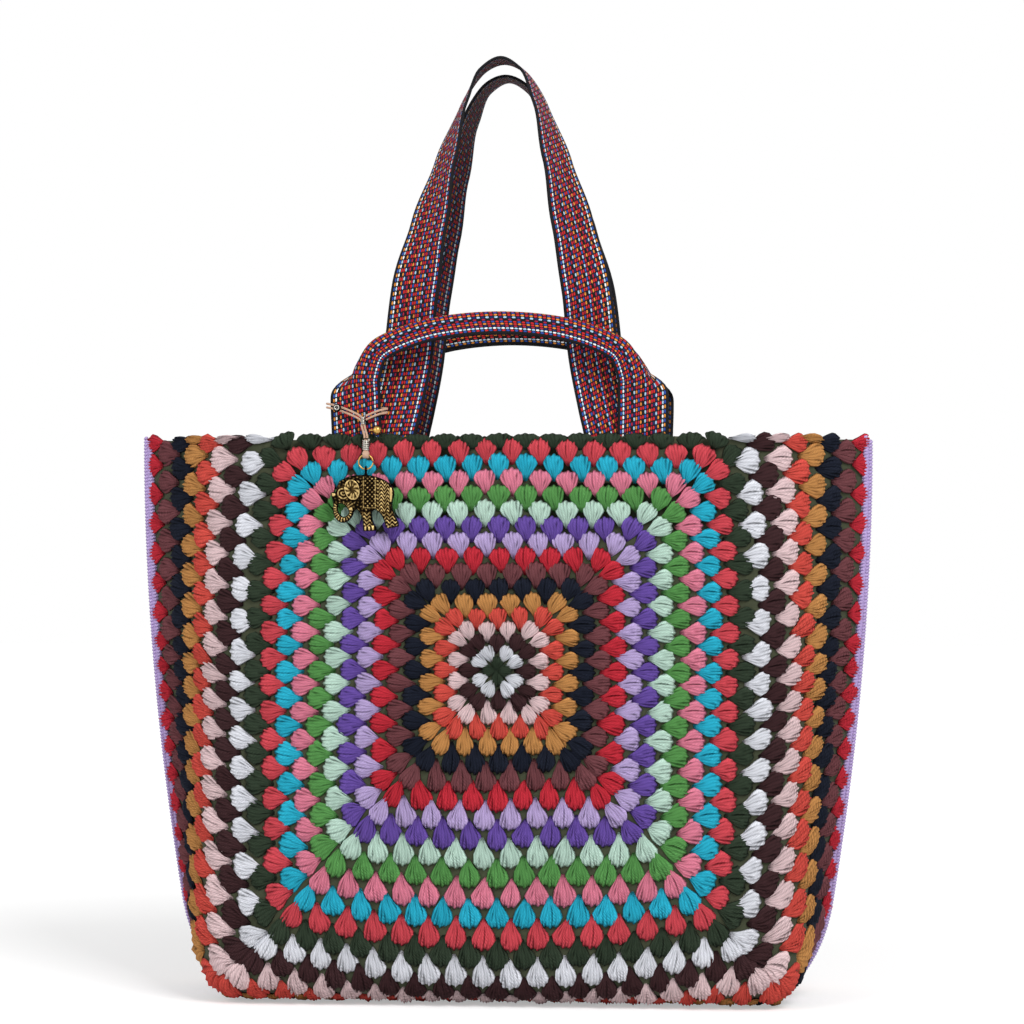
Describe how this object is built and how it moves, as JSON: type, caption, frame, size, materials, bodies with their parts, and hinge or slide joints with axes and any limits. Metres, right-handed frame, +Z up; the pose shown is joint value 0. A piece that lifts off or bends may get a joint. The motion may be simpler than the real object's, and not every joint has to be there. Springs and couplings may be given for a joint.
{
  "type": "crochet tote bag",
  "caption": "Open-topped crocheted granny-square tote with a canvas lining, woven shoulder straps, folded carry handles and an elephant charm tied on with cord.",
  "frame": {"origin": "middle of the base, on the surface that the bag stands on", "axes": "+X to the right seen from the front, +Y to the back, +Z up; the charm hangs on the front, which faces -Y"},
  "size_m": [0.5146, 0.1402, 0.656],
  "materials": {
    "yarn": "matt crocheted yarn in many colours",
    "seam_yarn": "matt lavender yarn",
    "lining_canvas": "plain olive canvas",
    "webbing": "warp-patterned woven band with black edges",
    "cord": "tan suede cord",
    "silver": "worn silver-coloured wire",
    "brass": "dull brass",
    "antique_brass": "cast brass, darkened in the hollows",
    "dark_metal": "dark metal"
  },
  "bodies": {
    "bag": {"crochet_front": "yarn", "crochet_back": "yarn", "lining": "lining_canvas", "joining_seam": "seam_yarn", "shoulder_strap_front": "webbing", "shoulder_strap_back": "webbing", "carry_handle_front": "webbing", "carry_handle_back": "webbing", "cord_loop_upper": "cord", "cord_loop_lower": "cord", "wrap_bead": "silver", "cord_drop_left": "cord", "cord_drop_right": "cord", "coil_bead": "silver", "leather_tab": "cord", "bell_bead": "brass", "toggle_bead": "dark_metal"},
    "ring": {"jump_ring": "brass"},
    "elephant": {"elephant_charm": "antique_brass"}
  },
  "joints": [
    {"name": "ring_swing", "type": "hinge", "parent": "bag", "child": "ring", "pos_m": [-0.091, -0.05698, 0.3745], "axis": [0, 1, 0], "range_deg": [-25, 25]},
    {"name": "charm_swing", "type": "hinge", "parent": "ring", "child": "elephant", "pos_m": [-0.091, -0.05698, 0.3695], "axis": [-1, 0, 0], "range_deg": [0, 75]}
  ]
}
